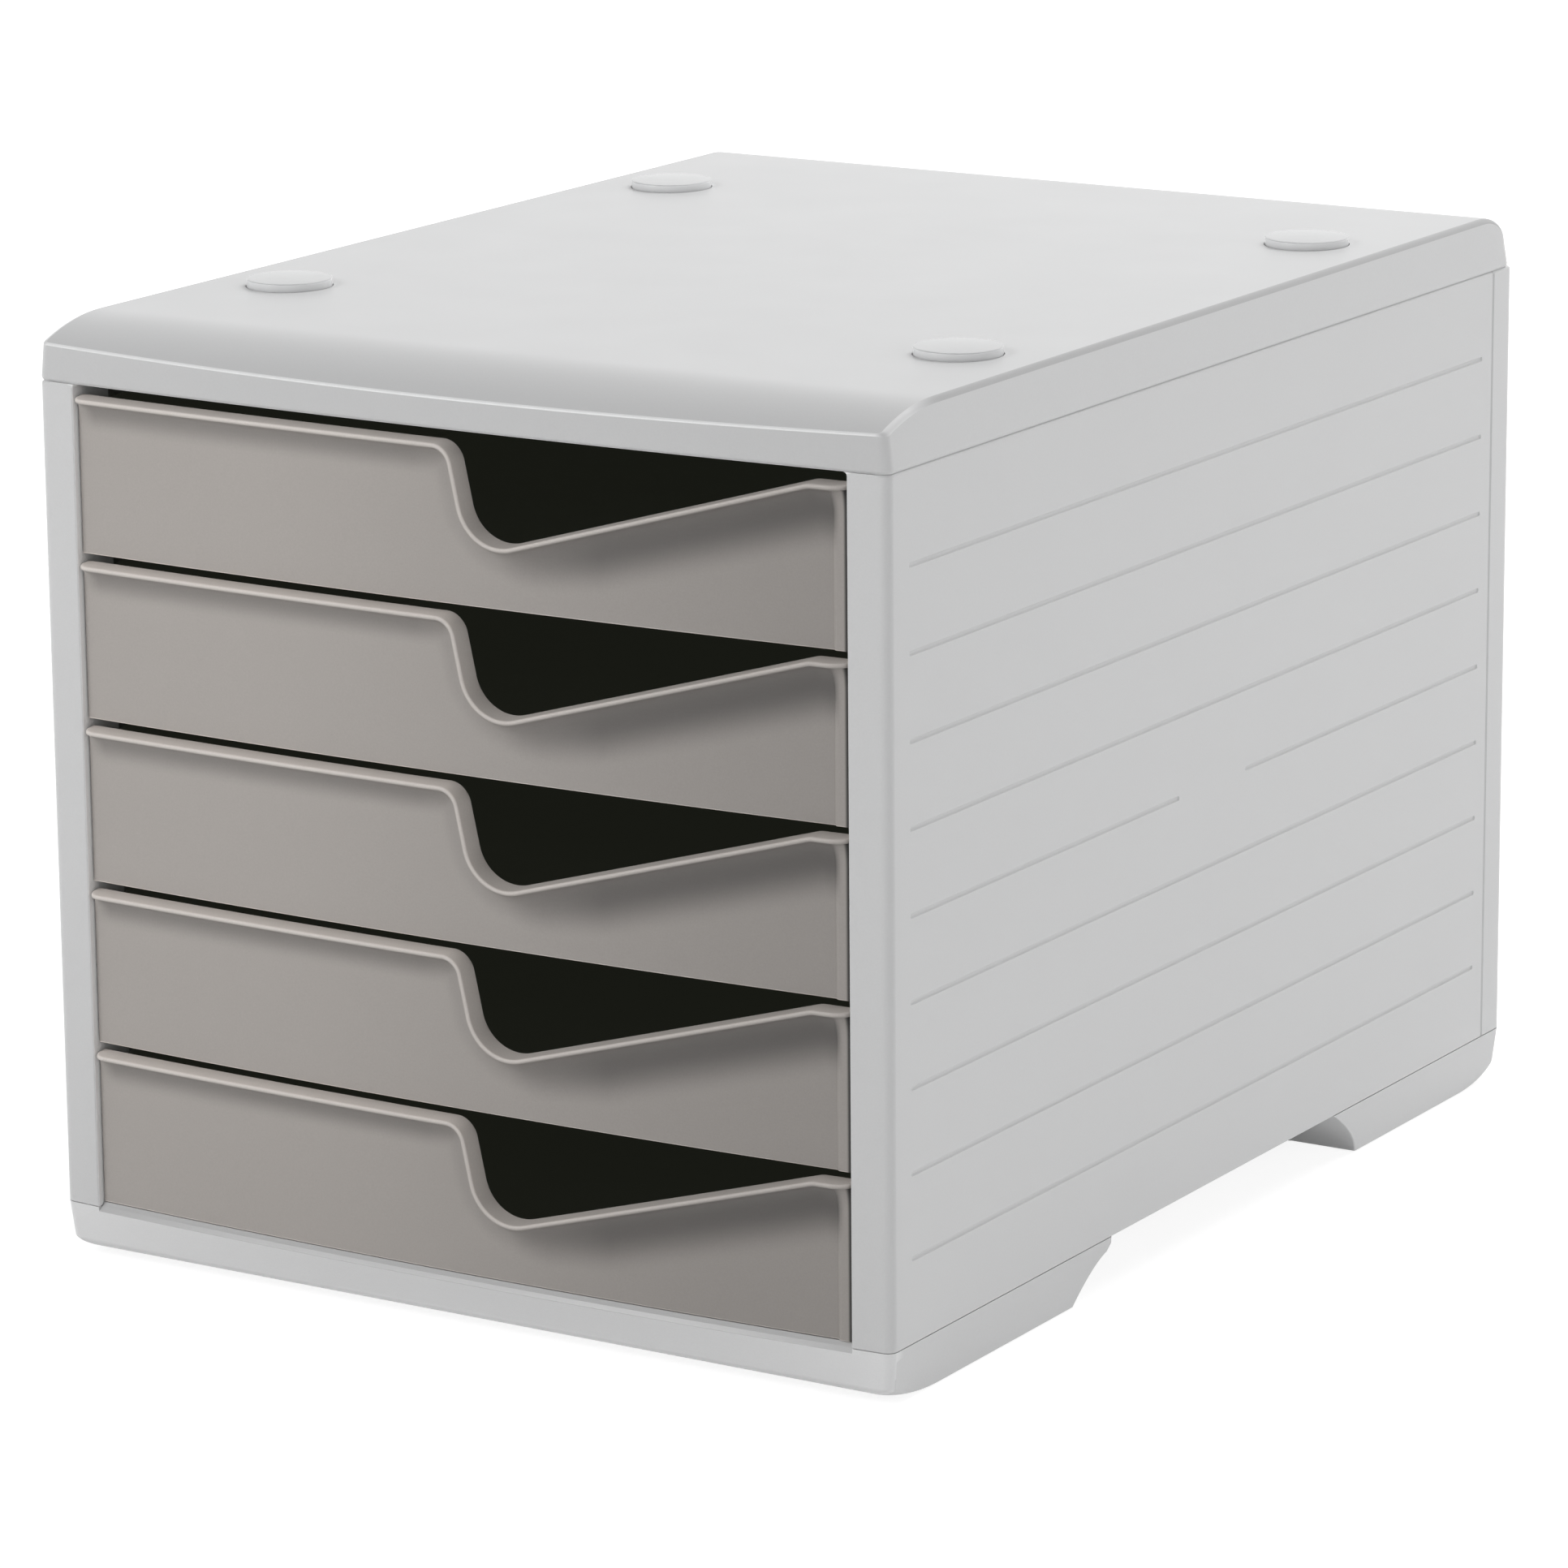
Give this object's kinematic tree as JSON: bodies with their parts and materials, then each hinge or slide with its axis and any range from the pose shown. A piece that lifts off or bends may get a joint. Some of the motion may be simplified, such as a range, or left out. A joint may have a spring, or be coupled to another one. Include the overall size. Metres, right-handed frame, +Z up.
{
  "type": "desktop file drawer",
  "caption": "Desktop drawer box for letter paper, pale casing on two plinth feet, taupe pull-out drawers with swooping finger cuts.",
  "frame": {"origin": "on the table top, under the middle of the whole object's box", "axes": "+Z up, drawers open towards -Y, +X to the right when facing the drawers"},
  "size_m": [0.28, 0.3818, 0.2781],
  "materials": {
    "casing_grey": "fine satin grain",
    "front_taupe": "fine satin grain",
    "tray_black": "satin",
    "disc_clear": "glossy, slightly translucent",
    "pad_rubber": "matt"
  },
  "bodies": {
    "casing": {"top_cover": "casing_grey", "base_tray": "casing_grey", "left_side_wall": "casing_grey", "right_side_wall": "casing_grey", "back_panel": "casing_grey", "stacking_disc_1": "disc_clear", "stacking_disc_2": "disc_clear", "stacking_disc_3": "disc_clear", "stacking_disc_4": "disc_clear", "foot_pad_1": "pad_rubber", "foot_pad_2": "pad_rubber", "foot_pad_3": "pad_rubber", "foot_pad_4": "pad_rubber"},
    "drawer_1": {"drawer_front_1": "front_taupe", "drawer_tray_1": "tray_black"},
    "drawer_2": {"drawer_front_2": "front_taupe", "drawer_tray_2": "tray_black"},
    "drawer_3": {"drawer_front_3": "front_taupe", "drawer_tray_3": "tray_black"},
    "drawer_4": {"drawer_front_4": "front_taupe", "drawer_tray_4": "tray_black"},
    "drawer_5": {"drawer_front_5": "front_taupe", "drawer_tray_5": "tray_black"}
  },
  "joints": [
    {"name": "drawer_1_slide", "type": "slide", "parent": "casing", "child": "drawer_1", "axis": [0, -1, 0], "range_m": [0, 0.24]},
    {"name": "drawer_2_slide", "type": "slide", "parent": "casing", "child": "drawer_2", "axis": [0, -1, 0], "range_m": [0, 0.24]},
    {"name": "drawer_3_slide", "type": "slide", "parent": "casing", "child": "drawer_3", "axis": [0, -1, 0], "range_m": [0, 0.24]},
    {"name": "drawer_4_slide", "type": "slide", "parent": "casing", "child": "drawer_4", "axis": [0, -1, 0], "range_m": [0, 0.24]},
    {"name": "drawer_5_slide", "type": "slide", "parent": "casing", "child": "drawer_5", "axis": [0, -1, 0], "range_m": [0, 0.24]}
  ]
}
